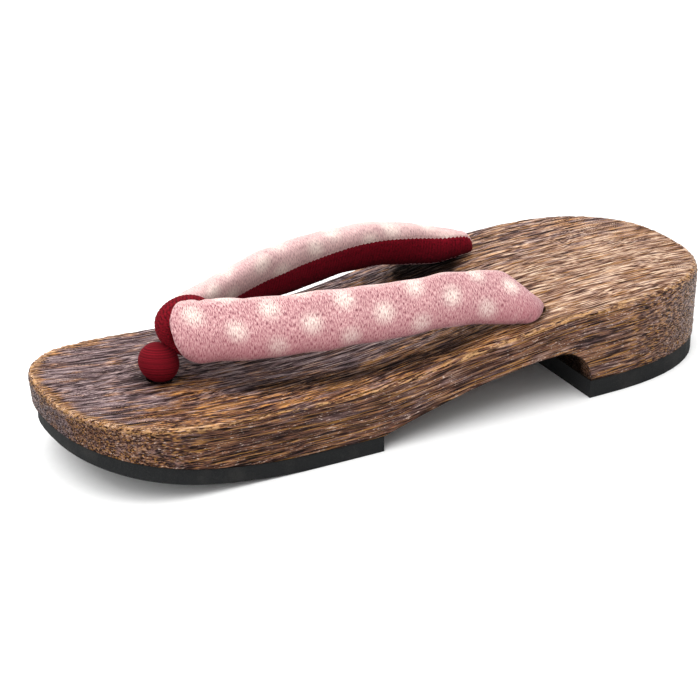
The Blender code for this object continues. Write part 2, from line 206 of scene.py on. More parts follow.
def outline(inset, draft):
    """Half outline of the base from the heel to the toe, moved in by inset, as arrays s and half width."""
    heel_turn = 0.5 * math.pi * np.arange(HEEL_STEPS) / HEEL_STEPS
    toe_turn = 0.5 * math.pi * np.arange(1, TOE_STEPS + 1) / TOE_STEPS
    toe_start = LENGTH - TOE_CAP
    notch_turn = 0.5 * math.pi * np.arange(NOTCH_STEPS + 1) / NOTCH_STEPS
    notch = HEEL_BLOCK + NOTCH_RADIUS * (1.0 - np.cos(notch_turn))
    even = np.linspace(HEEL_CAP, toe_start, SIDE_STEPS)
    clear = (even < HEEL_BLOCK - MM) | (even > NOTCH_TOP_X + MM)
    clear &= (abs(even - ARCH_END_X) > 0.5 * MM) & (abs(even - SPRING_START_X) > 0.5 * MM)
    side = np.sort(np.concatenate([even[clear], notch, [ARCH_END_X, SPRING_START_X]]))
    count = HEEL_STEPS + len(side) + TOE_STEPS
    inset = np.broadcast_to(inset, (count,))
    heel_in = inset[:HEEL_STEPS] + draft
    toe_in = inset[-TOE_STEPS:] + draft
    heel = HEEL_CAP - (HEEL_CAP - heel_in) * np.cos(heel_turn) ** (2 / HEEL_SQUARENESS)
    toe_reach = np.sin(toe_turn) ** (2 / TOE_SQUARENESS)
    toe = toe_start + (LENGTH - toe_in - toe_start) * toe_reach
    s = np.concatenate([heel, side, toe])
    heel_share = np.sin(heel_turn) ** (2 / HEEL_SQUARENESS)
    toe_share = np.maximum(np.cos(toe_turn), 0.0) ** (2 / TOE_SQUARENESS)
    toe_share[-1] = 0.0
    share = np.concatenate([heel_share, np.ones(len(side)), toe_share])
    half = 0.5 * WIDTH * read_table(SIDE_PROFILE, s / LENGTH) - inset
    return s, half * share


def new_piece(name, points, faces, materials, smooth=True):
    """Turn points and faces into a piece with outward faces, and its materials."""
    mesh = bpy.data.meshes.new(name)
    mesh.from_pydata([tuple(p) for p in points], [], faces)
    bm = bmesh.new()
    bm.from_mesh(mesh)
    bmesh.ops.recalc_face_normals(bm, faces=bm.faces)
    bm.to_mesh(mesh)
    bm.free()
    for made_of in materials:
        mesh.materials.append(made_of)
    if smooth:
        mesh.shade_smooth()
    thing = bpy.data.objects.new(name, mesh)
    bpy.context.scene.collection.objects.link(thing)
    return thing


def keep_values(mesh, name, values):
    """Keep one number or one vector for each point of a mesh, for its material."""
    kind = "FLOAT" if values.ndim == 1 else "FLOAT_VECTOR"
    attribute = mesh.attributes.new(name, kind, "POINT")
    attribute.data.foreach_set("value" if values.ndim == 1 else "vector", values.astype(np.float32).ravel())


def mesh_points(mesh, what="co"):
    """The points or normals of a mesh as an array."""
    values = np.empty(len(mesh.vertices) * 3, np.float32)
    if what == "co":
        mesh.vertices.foreach_get("co", values)
    else:
        mesh.vertex_normals.foreach_get("vector", values)
    return values.reshape(-1, 3).astype(float)


# Materials

def linear(code):
    """A colour in linear light from its sRGB hex code."""
    channels = [int(code[i:i + 2], 16) / 255 for i in (1, 3, 5)]
    return (*[c / 12.92 if c <= 0.04045 else ((c + 0.055) / 1.055) ** 2.4 for c in channels], 1.0)


def add(tree, kind, inputs=None, **settings):
    """Add a node, with its settings, and its inputs set or linked."""
    node = tree.nodes.new(kind)
    for key, value in settings.items():
        setattr(node, key, value)
    for key, value in (inputs or {}).items():
        if isinstance(value, bpy.types.NodeSocket):
            tree.links.new(value, node.inputs[key])
        else:
            node.inputs[key].default_value = value
    return node.outputs[0] if len(node.outputs) else node


def ramp(tree, value, stops):
    """A colour ramp from (place, hex colour) stops."""
    socket = add(tree, "ShaderNodeValToRGB", {0: value})
    bar = socket.node.color_ramp
    while len(bar.elements) < len(stops):
        bar.elements.new(1.0)
    for element, (place, code) in zip(bar.elements, stops):
        element.position = place
        element.color = linear(code)
    return socket


def new_material(name, **surface):
    """A material with a principled shader, and the values that are the same all over its surface."""
    made = bpy.data.materials.new(name)
    made.use_nodes = True
    shader = made.node_tree.nodes["Principled BSDF"]
    for key, value in surface.items():
        shader.inputs[key.replace("_", " ").title().replace("Ior", "IOR")].default_value = value
    return made, made.node_tree, shader


def join(tree, shader, **sockets):
    """Link sockets to the shader's inputs, named in small letters."""
    for key, socket in sockets.items():
        tree.links.new(socket, shader.inputs[key.replace("_", " ").title()])


def scaled(tree, place, x, y, z):
    """A place divided by the grain's size in mm along each axis."""
    return add(tree, "ShaderNodeVectorMath", {0: place, 1: (1 / x, 1 / y, 1 / z)}, operation="MULTIPLY")


def noise(tree, place, detail, roughness):
    """Soft noise over a place that is already scaled."""
    return add(
        tree, "ShaderNodeTexNoise", {"Vector": place, "Scale": 1.0, "Detail": detail, "Roughness": roughness}
    )


def span(tree, value, low, high, low_to=0.0, high_to=1.0):
    """Stretch a value from one range to another, kept inside it."""
    return add(
        tree, "ShaderNodeMapRange",
        {"Value": value, "From Min": low, "From Max": high, "To Min": low_to, "To Max": high_to},
    )


def mixed(tree, share, first, second):
    """Mix two colours."""
    return add(tree, "ShaderNodeMix", {0: share, 6: first, 7: second}, data_type="RGBA").node.outputs[2]


def calculate(tree, operation, *values, clamp=False):
    """A sum with one to three values."""
    return add(tree, "ShaderNodeMath", dict(enumerate(values)), operation=operation, use_clamp=clamp)


def brushed_grain(tree, place):
    """Height of the brushed grain, 0 in a groove and 1 on a ridge, from the place in the wood in mm.

    The growth rings are cut at a slant, so the ridges are about 1.6 mm apart on the deck and 1 mm on the
    walls, run for 1 to 2 cm, and show as short slanting dashes on the end grain. Relief and finish use it.
    """
    drift = noise(tree, scaled(tree, place, 55, 22, 18), 1.0, 0.5)
    drift = calculate(tree, "SUBTRACT", drift, 0.5)
    drift = calculate(tree, "MULTIPLY", drift, 7.0)
    shift = add(tree, "ShaderNodeCombineXYZ", {1: drift, 2: drift})
    moved = add(tree, "ShaderNodeVectorMath", {0: place, 1: shift}, operation="ADD")
    turned = add(
        tree, "ShaderNodeVectorRotate", {"Vector": moved, "Angle": math.radians(20)}, rotation_type="X_AXIS"
    )
    rings = span(tree, noise(tree, scaled(tree, turned, 16, 0.80, 0.50), 2.0, 0.6), 0.41, 0.59, 0.0, 0.58)
    fibres = span(tree, noise(tree, scaled(tree, turned, 6, 0.36, 0.28), 1.0, 0.6), 0.38, 0.62, 0.0, 0.46)
    return calculate(tree, "ADD", rings, fibres, clamp=True)


# Wood colours from groove to ridge
PURPLE_WOOD = ((0.0, "#0c0606"), (0.25, "#2a1b1c"), (0.50, "#513b3d"), (0.75, "#755d5f"), (1.0, "#a18986"))
BROWN_WOOD = ((0.0, "#080302"), (0.25, "#1e0b06"), (0.50, "#45200f"), (0.75, "#78451f"), (1.0, "#ca8a42"))
PALE_WOOD = ((0.0, "#1f0e08"), (0.25, "#4c2b1c"), (0.50, "#825b45"), (0.75, "#b28e74"), (1.0, "#e2c3a4"))


def scorched_paulownia():
    """Paulownia, scorched, wire-brushed and lacquered.

    The soft grooves burn to dark purple-brown and the hard ridges stay tan to gold. The clear lacquer gives a
    greyish sheen. Bright specks along the ridges and a pale line on the deck's edge are painted highlights,
    and the shade of the strap, the notch and the underside is painted dark.
    """
    made, tree, shader = new_material("scorched_brushed_paulownia", ior=1.5, coat_roughness=0.2, coat_ior=1.5)
    place = add(tree, "ShaderNodeAttribute", attribute_name="wood_place").node.outputs["Vector"]
    tones = add(tree, "ShaderNodeAttribute", attribute_name="wood_tone").node.outputs["Vector"]
    warmth, paleness, edge_highlight = add(tree, "ShaderNodeSeparateXYZ", {0: tones}).node.outputs
    # Share of painted shade: the notch, the underside and the strap's shadows on the deck, painted near black
    painted_shade = add(tree, "ShaderNodeAttribute", attribute_name="painted_shade").node.outputs["Fac"]
    grain = brushed_grain(tree, place)
    # The walls are less deeply brushed, so that their tones are closer together
    depth = add(tree, "ShaderNodeSeparateXYZ", {0: place}).node.outputs[2]
    closer = span(tree, depth, 0.4, 2.0, 0.0, 0.27)
    tone = add(tree, "ShaderNodeMix", {0: closer, 2: grain, 3: 0.16}, data_type="FLOAT")
    # Patches a centimetre or two long, as the brushing and burning vary
    patches = span(tree, noise(tree, scaled(tree, place, 14, 2.6, 2.4), 2.0, 0.6), 0.36, 0.64, -0.58, 0.58)
    warm = calculate(tree, "ADD", warmth, patches, clamp=True)
    purple = ramp(tree, tone, PURPLE_WOOD)
    brown = ramp(tree, tone, BROWN_WOOD)
    light = ramp(tree, tone, PALE_WOOD)
    colour = mixed(tree, warm, purple, brown)
    pale_patches = span(tree, noise(tree, scaled(tree, place, 9, 1.6, 1.6), 2.0, 0.6), 0.38, 0.62, -0.45, 0.4)
    pale = calculate(tree, "ADD", paleness, pale_patches, clamp=True)
    pale = calculate(tree, "MULTIPLY", pale, span(tree, paleness, 0.0, 0.15))
    colour = mixed(tree, pale, colour, light)
    # Long gold lines, where the hardest growth rings come to the surface
    lines = noise(tree, scaled(tree, place, 20, 0.48, 0.42), 1.0, 0.5)
    line = calculate(tree, "MULTIPLY", span(tree, lines, 0.56, 0.66, 0.0, 0.6), span(tree, warm, 0.25, 0.8))
    colour = mixed(tree, line, colour, linear("#bb8547"))
    # Pale specks on the ridges, 0.5 mm: painted glints of the lacquer. The same noise gives the open pores
    # their bumps
    specks = noise(tree, scaled(tree, place, 1.5, 0.45, 0.45), 2.0, 0.7)
    painted_glint = span(tree, specks, 0.60, 0.68, 0.0, 0.8)
    painted_glint = calculate(tree, "MULTIPLY", painted_glint, span(tree, grain, 0.35, 0.8))
    colour = mixed(tree, painted_glint, colour, linear("#dcc4b4"))
    # Painted highlight in gold and cream along the deck's lit near edge and the toe's rim, in dashes of 2 to
    # 10 mm
    painted_edge_highlight = span(tree, noise(tree, scaled(tree, place, 3.0, 0.9, 0.9), 3.0, 0.7), 0.50, 0.60)
    painted_edge_highlight = calculate(tree, "MULTIPLY", painted_edge_highlight, calculate(tree, "MULTIPLY", edge_highlight, 0.8))
    colour = mixed(tree, painted_edge_highlight, colour, linear("#c99a66"))
    # Painted shade: near black, thinner on the ridges so that the grain still shows through it
    thin = span(tree, grain, 0.35, 1.0, 0.0, 0.3)
    missing = calculate(tree, "MULTIPLY", thin, calculate(tree, "SUBTRACT", 1.0, painted_shade))
    shade_share = calculate(tree, "MULTIPLY", painted_shade, calculate(tree, "SUBTRACT", 1.0, missing))
    colour = mixed(tree, shade_share, colour, linear("#060505"))
    # The grooves and the parts under painted shade are matt and hold no gloss
    clean = calculate(tree, "SUBTRACT", 1.0, shade_share)
    gloss = calculate(tree, "MULTIPLY", clean, span(tree, grain, 0.25, 1.0, 0.04, 0.5))
    lacquer = calculate(tree, "MULTIPLY", clean, 0.15)
    rough = span(tree, grain, 0.0, 1.0, 0.66, 0.38)
    ridges = {"Strength": 0.9, "Distance": 0.35 * MM, "Height": grain}
    coarse = add(tree, "ShaderNodeBump", ridges)
    pores = {"Strength": 0.8, "Distance": 0.18 * MM, "Height": specks, "Normal": coarse}
    fine = add(tree, "ShaderNodeBump", pores)
    tree.links.new(gloss, shader.inputs["Specular IOR Level"])
    join(tree, shader, base_color=colour, roughness=rough, coat_weight=lacquer, normal=fine, coat_normal=fine)
    return made


def moulded_rubber():
    """Charcoal foam rubber, cut and buffed: dull, with a fine open grit and a little pale dust."""
    made, tree, shader = new_material("buffed_charcoal_rubber", ior=1.5)
    place = add(tree, "ShaderNodeTexCoord").node.outputs["Object"]
    grit = noise(tree, scaled(tree, place, *[0.35 * MM] * 3), 3.0, 0.7)
    dust = noise(tree, scaled(tree, place, *[9 * MM] * 3), 4.0, 0.6)
    # The buffed skin is full of pits, so that it has about a third of a smooth surface's gloss
    shader.inputs["Specular IOR Level"].default_value = 0.17
    colour = ramp(tree, grit, [(0.3, "#0e0f10"), (0.55, "#191a1b"), (0.75, "#2b2b2a")])
    dusty = span(tree, dust, 0.5, 0.8, 0.0, 0.16)
    colour = mixed(tree, dusty, colour, linear("#5a5652"))
    rough = span(tree, dust, 0.0, 1.0, 0.72, 0.9)
    bump = add(tree, "ShaderNodeBump", {"Strength": 0.6, "Distance": 0.2 * MM, "Height": grit})
    join(tree, shader, base_color=colour, roughness=rough, normal=bump)
    return made


# The crepe's print, in mm, and its colours from the gaps between the threads to their crowns
DOT_RADIUS = 5.4
DOT_DRIFT = 0.037         # the print runs this much askew to the arm
DOT_MIDDLE = 70.0         # from the arm's rear end to where the skew is nil
DOT_FADE = 4.0            # over which the print ends
CREPE_COLOURS = ((0.30, "#4f222c"), (0.41, "#985f67"), (0.52, "#bf9091"), (0.66, "#d8b0ad"))


def dotted_crepe(name, pitch, row, starts, printed, painted_light):
    """Rayon crepe, woven with twisted threads and printed with soft white dots: matt, pink, finely dashed.

    Two lattices of dots start at the two places in starts, pitch apart along the arm and twice row across it.
    The dots end at the two places along the arm in printed, slantwise. All are in mm. painted_light is the
    share by which the colour is painted paler, as painted light.
    """
    made, tree, shader = new_material(name, roughness=0.9, ior=1.45, sheen_weight=0.1, sheen_roughness=0.5)
    place = add(tree, "ShaderNodeAttribute", attribute_name="cloth_place").node.outputs["Vector"]
    along, across, _ = add(tree, "ShaderNodeSeparateXYZ", {0: place}).node.outputs
    # Crepe threads cross the strap: the real 0.3 mm is drawn as 0.6 mm, in dashes of 2.5 mm, so that it shows
    leaned = calculate(tree, "MULTIPLY_ADD", across, 0.12, along)
    woven = add(tree, "ShaderNodeCombineXYZ", {0: leaned, 1: across})
    threads = noise(tree, scaled(tree, woven, 0.30, 1.3, 1.0), 1.5, 0.65)
    shade = noise(tree, scaled(tree, place, 9, 6, 1.0), 2.0, 0.5)
    # The colour is made paler by the given share: painted light
    colour = mixed(tree, painted_light, ramp(tree, threads, CREPE_COLOURS), linear("#ecd6d0"))
    skew = calculate(tree, "SUBTRACT", along, DOT_MIDDLE)
    straight = calculate(tree, "MULTIPLY_ADD", skew, DOT_DRIFT, across)
    print_place = add(tree, "ShaderNodeCombineXYZ", {0: along, 1: straight})
    reach = []
    for start in starts:
        moved = add(
            tree, "ShaderNodeVectorMath", {0: print_place, 1: (start[0], start[1], 0.0)}, operation="SUBTRACT"
        )
        half = (pitch / 2, row, 50.0)
        cell = add(
            tree, "ShaderNodeVectorMath", {0: moved, 1: half, 2: tuple(-h for h in half)}, operation="WRAP"
        )
        reach.append(add(tree, "ShaderNodeVectorMath", {0: cell}, operation="LENGTH").node.outputs["Value"])
    nearest = calculate(tree, "MINIMUM", *reach)
    glow = add(
        tree, "ShaderNodeMapRange", {"Value": nearest, "From Min": DOT_RADIUS, "From Max": 0.3},
        interpolation_type="SMOOTHSTEP",
    )
    dashes = span(tree, threads, 0.36, 0.60, 0.25, 0.95)
    dot = calculate(tree, "MULTIPLY", glow, dashes, clamp=True)
    rear = calculate(tree, "MINIMUM", along, calculate(tree, "MULTIPLY_ADD", across, 0.9, along))
    front = calculate(tree, "SUBTRACT", along, across)
    first = span(tree, rear, printed[0], printed[0] + DOT_FADE)
    last = span(tree, front, printed[1], printed[1] - DOT_FADE)
    dot = calculate(tree, "MULTIPLY", dot, calculate(tree, "MULTIPLY", first, last))
    colour = mixed(tree, dot, colour, linear("#f0e0d4"))
    # Painted highlight along the upper edge, and painted shade toward the lower edge
    crest = calculate(tree, "ABSOLUTE", calculate(tree, "SUBTRACT", across, 10.5))
    colour = mixed(tree, span(tree, crest, 3.0, 0.5, 0.0, 0.3), colour, linear("#e6cdc4"))
    colour = mixed(tree, span(tree, across, 1.0, -9.0, 0.0, 0.68), colour, linear("#7d4149"))
    colour = mixed(tree, span(tree, shade, 0.3, 0.7, 0.16, 0.0), colour, linear("#7a3f4a"))
    bump = add(tree, "ShaderNodeBump", {"Strength": 0.6, "Distance": 0.2 * MM, "Height": threads})
    join(tree, shader, base_color=colour, normal=bump)
    return made


PAINTED_LINING_SHADE = 0.72         # how dark the painted shade on the lower part of the strap's lining is


def ribbed_velvet(name, rib, slant, lit, dark):
    """Cotton velvet with fine ribs, rib mm apart: deep crimson, bright where the pile leans to the light.

    The ribs lie aslant by slant mm for each mm round the cord, and are dark between.
    """
    made, tree, shader = new_material(name, roughness=0.9, ior=1.45, sheen_weight=0.12, sheen_roughness=0.35)
    shader.inputs["Sheen Tint"].default_value = linear("#c8304a")
    # The pile scatters light and gives no gloss
    shader.inputs["Specular IOR Level"].default_value = 0.1
    place = add(tree, "ShaderNodeAttribute", attribute_name="cloth_place").node.outputs["Vector"]
    parts = add(tree, "ShaderNodeSeparateXYZ", {0: place}).node.outputs
    leaned = calculate(tree, "MULTIPLY_ADD", parts[1], slant, parts[0])
    ribs = calculate(tree, "SINE", calculate(tree, "MULTIPLY", leaned, 2 * math.pi / rib))
    pile = noise(tree, scaled(tree, place, 0.45, 0.8, 1.0), 2.0, 0.6)
    height = calculate(tree, "MULTIPLY_ADD", ribs, 0.06, pile)
    colour = ramp(tree, height, [(0.28, dark), (0.72, lit)])
    # Painted shade on the lower half of the strap's lining, darker toward its lower seam
    lining_shade = span(tree, parts[2], 0.25, 0.75, 0.0, PAINTED_LINING_SHADE)
    colour = mixed(tree, lining_shade, colour, linear("#24040a"))
    bump = add(tree, "ShaderNodeBump", {"Strength": 0.5, "Distance": 0.2 * MM, "Height": height})
    join(tree, shader, base_color=colour, normal=bump)
    return made


def twisted_cotton():
    """Cotton cord dyed dull red, loosely twisted, its strands 2.4 mm apart: the strap's tails and knots."""
    made, tree, shader = new_material("twisted_cotton_cord", roughness=0.9, ior=1.45)
    place = add(tree, "ShaderNodeAttribute", attribute_name="cloth_place").node.outputs["Vector"]
    parts = add(tree, "ShaderNodeSeparateXYZ", {0: place}).node.outputs
    twist = calculate(tree, "ADD", parts[0], parts[1])
    strands = calculate(tree, "SINE", calculate(tree, "MULTIPLY", twist, 2 * math.pi / 2.4))
    fluff = noise(tree, scaled(tree, place, *[1 / 3] * 3), 3.0, 0.5)
    height = calculate(tree, "MULTIPLY_ADD", strands, 0.3, fluff)
    colour = ramp(tree, height, [(0.1, "#5a1a22"), (0.9, "#8f2b36")])
    bump = add(tree, "ShaderNodeBump", {"Strength": 0.8, "Distance": 0.5 * MM, "Height": height})
    join(tree, shader, base_color=colour, normal=bump)
    return made


def pale_floor():
    """Matt white paper, with the faintest cloudiness."""
    made, tree, shader = new_material("white_paper_floor", roughness=0.95, ior=1.3)
    place = add(tree, "ShaderNodeTexCoord").node.outputs["Object"]
    fibre = add(tree, "ShaderNodeTexNoise", {"Vector": place, "Scale": 400.0, "Detail": 2.0})
    colour = ramp(tree, fibre, [(0.0, "#f4f4f3"), (1.0, "#fbfbfb")])
    join(tree, shader, base_color=colour)
    return made


wood = scorched_paulownia()
rubber = moulded_rubber()
PRINTED = (6.0, 126.0)
crepe_near = dotted_crepe(
    "dotted_pink_crepe_near_arm", 24.2, 6.5, ((1.5, 6.4), (13.6, 12.9)), PRINTED, 0.0
)
# The far arm's copy is painted 0.3 paler: painted light on its shaded inner side
crepe_far = dotted_crepe(
    "dotted_pink_crepe_far_arm", 22.8, 5.6, ((12.6, 12.0), (21.0, 17.6)), PRINTED, 0.3
)
velvet = ribbed_velvet("crimson_velvet_lining", 1.1, 0.0, "#860f22", "#40060e")
cord_velvet = ribbed_velvet("crimson_velvet_cord", 0.95, 0.35, "#7d0f1d", "#32050a")
cotton = twisted_cotton()


# Wooden base

def base_mesh():
    """Points and faces of the base: underside, walls, rounded edge and deck, before the holes."""
    top_s, top_y = outline(0.0, 0.0)
    low_s, low_y = outline(0.0, END_DRAFT)
    radius = TOE_EDGE_ROUND + (HEEL_EDGE_ROUND - TOE_EDGE_ROUND) * ease(top_s, 0.16, 0.05)
    rings = []
    for level in range(WALL_LEVELS):
        share = level / WALL_LEVELS
        s = low_s + (top_s - low_s) * share
        y = low_y + (top_y - low_y) * share
        bottom = wood_underside(low_s)
        rings.append((s, y, bottom + (deck_height(top_s) - radius - bottom) * share))
    for level in range(ROUND_LEVELS + 1):
        turn = 0.5 * math.pi * level / ROUND_LEVELS
        s, y = outline(radius * (1.0 - math.cos(turn)), 0.0)
        rings.append((s, y, deck_height(s) - radius * (1.0 - math.sin(turn))))
    count = len(top_s)
    around = 2 * count - 2
    points = []
    for s, y, z in rings:
        near = np.stack([s - LENGTH / 2, y, z], 1)
        far = near[count - 2:0:-1] * (1, -1, 1)
        points.append(np.concatenate([near, far]))
    faces = []
    for level in range(len(rings) - 1):
        low = level * around
        high = low + around
        for i in range(around):
            j = (i + 1) % around
            faces.append((low + i, low + j, high + j, high + i))
    total = len(rings) * around
    for ring, columns in ((0, UNDERSIDE_COLUMNS), (len(rings) - 1, DECK_COLUMNS)):
        first = ring * around
        s, y, z = rings[ring]
        rows = [[first]]
        for i in range(1, count - 1):
            share = 1.0 - 2.0 * np.arange(1, columns) / columns
            level = np.ones(columns - 1)
            points.append(np.stack([level * (s[i] - LENGTH / 2), y[i] * share, level * z[i]], 1))
            rows.append([first + i, *range(total, total + columns - 1), first + around - i])
            total += columns - 1
        rows.append([first + count - 1])
        for row, after in zip(rows, rows[1:]):
            if len(row) == 1:
                faces += [(row[0], after[k], after[k + 1]) for k in range(columns)]
            elif len(after) == 1:
                faces += [(row[k], row[k + 1], after[0]) for k in range(columns)]
            else:
                faces += [(row[k], row[k + 1], after[k + 1], after[k]) for k in range(columns)]
    return np.concatenate(points), faces


HOLES = (
    (REAR_HOLE_X, REAR_HOLE_SPREAD / 2, REAR_HOLE_RADIUS),
    (REAR_HOLE_X, -REAR_HOLE_SPREAD / 2, REAR_HOLE_RADIUS),
    (FRONT_HOLE_X, 0.0, FRONT_HOLE_RADIUS),
)


def drill(base, s, y, radius):
    """Cut one upright hole through the base."""
    bm = bmesh.new()
    bmesh.ops.create_cone(bm, cap_ends=True, segments=40, radius1=radius, radius2=radius, depth=0.12)
    bmesh.ops.translate(bm, verts=bm.verts, vec=(s - LENGTH / 2, y, 0.02))
    mesh = bpy.data.meshes.new("hole")
    bm.to_mesh(mesh)
    bm.free()
    tool = bpy.data.objects.new("hole", mesh)
    bpy.context.scene.collection.objects.link(tool)
    cut = base.modifiers.new("hole", "BOOLEAN")
    cut.operation = "DIFFERENCE"
    cut.object = tool
    bpy.context.view_layer.update()
    evaluated = base.evaluated_get(bpy.context.evaluated_depsgraph_get())
    result = bpy.data.meshes.new_from_object(evaluated)
    base.modifiers.remove(cut)
    base.data = result
    bpy.data.objects.remove(tool)


RIM_REACH = 41.0          # mm from the outline to the middle of an end


def rim_distance(x, y):
    """How far inside the base's outline each point lies, in mm, seen from above."""
    s = x + LENGTH / 2
    half = 0.5 * WIDTH * read_table(SIDE_PROFILE, s / LENGTH)
    toe = np.clip((s - (LENGTH - TOE_CAP)) / TOE_CAP, 0.0, 1.0)
    heel = np.clip((HEEL_CAP - s) / HEEL_CAP, 0.0, 1.0)
    across = np.clip(abs(y) / half, 0.0, 1.0)
    power = np.where(s > LENGTH / 2, TOE_SQUARENESS, HEEL_SQUARENESS)
    end = np.maximum(toe, heel)
    reach = (end ** power + across ** power) ** (1 / power)
    return (1.0 - reach) * RIM_REACH


def bump_at(value, centre, half):
    """A soft hill: 1 at its centre, 0.37 at its half width."""
    return np.exp(-((value - centre) / half) ** 2)


def wood_tones(x, y, below, normal):
    """Shares of gold, of pale, of painted edge highlight and of painted shade, charted from the photograph,
    in mm.
    """
    top = ease(normal[:, 2], 0.5, 0.85)
    rim = rim_distance(x * MM, y * MM)
    # Deck: grey-purple at the toe and under the strap, a golden near strip, and a pale golden heel
    strip = ease(y, 13, 25) * ease(x, 110, 94) * ease(x, -60, -20)
    toe = ease(x, 66, 92)
    # The gold on the toe's rim here and its pale share in deck_pale are a painted highlight of the rim's lit
    # rounded edge
    toe_rim = ease(rim, 5.5, 1.0) * toe
    stain = bump_at(x, 74, 11) * bump_at(y, 9, 6)
    deck = 0.04 + 0.85 * strip + 1.1 * toe_rim + 1.0 * stain + 0.55 * ease(x, 10, -50)
    heel = ease(x, -14, -66)
    deck_pale = 1.08 * heel * (0.30 + 0.70 * ease(y, -28, 14)) + 0.7 * ease(rim, 3.2, 1.0) * toe
    # Walls: gold lines on purple-brown, paler toward the heel, greyer round the toe
    end_face = ease(abs(normal[:, 0]), 0.5, 0.9)
    toe_far = ease(x, 92, 112) * ease(y, 30, 4)
    wall = 1.0 + 0.1 * end_face - 0.75 * toe_far
    wall_pale = 0.10 * ease(x, 10, -70) + 0.12 * bump_at(x, -8, 28)
    wall_pale = wall_pale + 0.20 * bump_at(x, 104, 8) * bump_at(y, 30, 8)
    warmth = deck * top + wall * (1 - top)
    pale = deck_pale * top + wall_pale * (1 - top)
    # Painted highlight along the rounded near edge of the deck and round the toe's rim, where they catch the
    # light
    rounded = ease(normal[:, 2], 0.25, 0.5) * ease(normal[:, 2], 0.98, 0.85)
    edge_highlight = rounded * ease(y, 5, 25) * ease(x, 108, 92)
    edge_highlight = np.maximum(edge_highlight, 0.9 * ease(rim, 4.0, 1.5) * toe * ease(below, 2.5, 1.0))
    # Painted shade, near black: on the underside, in the notch, on the front walls, round the foot of the
    # thong's roll, and on the deck beside, under and between the strap's arms
    under = ease(normal[:, 2], -0.15, -0.5)
    notch = ease(normal[:, 0], 0.6, 0.85) * ease(x, -20, -40) * ease(x, -100, -80)
    arm_line = arm_place(x * MM + LENGTH / 2, NEAR_ARM)[0] / MM
    near_shade = 0.86 * bump_at(y, arm_line + 4.5, 6) * ease(x, -42, -8) * ease(x, 78, 50)
    far_shade = 0.96 * np.clip(2.6 * bump_at(x, -31, 11) * bump_at(y, -22, 9), 0, 1)
    middle_shade = 0.45 * bump_at(y, 0, 12) * ease(x, -30, 0) * ease(x, 78, 50)
    foot_shade = 0.7 * bump_at(np.hypot(x - 80, y), 4, 4)
    shade = np.maximum.reduce([near_shade, far_shade, middle_shade, foot_shade]) * top
    front_wall = 0.2 * ease(x, 15, 60) * (1 - top)
    painted_shade = np.clip(0.75 * under + 0.96 * notch + shade + front_wall, 0, 0.96)
    return np.stack([np.clip(warmth, 0, 1.15), np.clip(pale, 0, 1), np.clip(edge_highlight, 0, 1)], 1), painted_shade


WORN_LEVEL = 0.75         # height of the grain that stays on the smooth form


def relief(base):
    """Raise the brushed grain with geometry nodes, from the same pattern as the finish."""
    tree = bpy.data.node_groups.new("brushed_relief", "GeometryNodeTree")
    tree.interface.new_socket("Geometry", in_out="INPUT", socket_type="NodeSocketGeometry")
    tree.interface.new_socket("Geometry", in_out="OUTPUT", socket_type="NodeSocketGeometry")
    start = add(tree, "NodeGroupInput")
    place = add(tree, "GeometryNodeInputNamedAttribute", {0: "wood_place"}, data_type="FLOAT_VECTOR")
    depth = add(tree, "GeometryNodeInputNamedAttribute", {0: "brushed_depth"}, data_type="FLOAT")
    outward = add(tree, "GeometryNodeInputNamedAttribute", {0: "outward"}, data_type="FLOAT_VECTOR")
    grain = brushed_grain(tree, place)
    height = calculate(tree, "MULTIPLY", calculate(tree, "SUBTRACT", grain, WORN_LEVEL), depth)
    offset = add(tree, "ShaderNodeVectorMath", {0: outward, "Scale": height}, operation="SCALE")
    moved = add(tree, "GeometryNodeSetPosition", {"Geometry": start, "Offset": offset})
    add(tree, "NodeGroupOutput", {0: moved})
    base.modifiers.new("brushed_relief", "NODES").node_group = tree


def build_base():
    """The carved base with its brushed surface."""
    points, faces = base_mesh()
    base = new_piece("base_wood", points, faces, [wood], smooth=False)
    for s, y, radius in HOLES:
        drill(base, s, y, radius)
    mesh = base.data
    mesh.shade_smooth()
    mesh.set_sharp_from_angle(angle=math.radians(40))
    at = mesh_points(mesh)
    normal = mesh_points(mesh, "normal")
    below = deck_height(at[:, 0] + LENGTH / 2) - at[:, 2]
    place = np.stack([at[:, 0], at[:, 1], below], 1) / MM
    rim = rim_distance(at[:, 0], at[:, 1])
    top = ease(normal[:, 2], 0.5, 0.85)
    depth = WALL_DEPTH + (BRUSHED_DEPTH - WALL_DEPTH) * top
    toe_rim = ease(rim, 2.5, 0.3) * ease(below / MM, 2.2, 0.5) * ease(place[:, 0], 60, 95)
    depth = depth + (RIM_DEPTH - depth) * toe_rim
    depth = depth * ease(normal[:, 2], -0.75, -0.35)
    for s, y, radius in HOLES:
        away = np.hypot(at[:, 0] + LENGTH / 2 - s, at[:, 1] - y)
        depth = depth * ease(away, radius + 0.3 * MM, radius + 1.8 * MM)
    keep_values(mesh, "wood_place", place)
    keep_values(mesh, "outward", normal)
    keep_values(mesh, "brushed_depth", depth)
    tones, painted_shade = wood_tones(place[:, 0], place[:, 1], place[:, 2], normal)
    keep_values(mesh, "wood_tone", tones)
    # The shares of painted shade, for the finish
    keep_values(mesh, "painted_shade", painted_shade)
    relief(base)
    return base


# Strap and thong

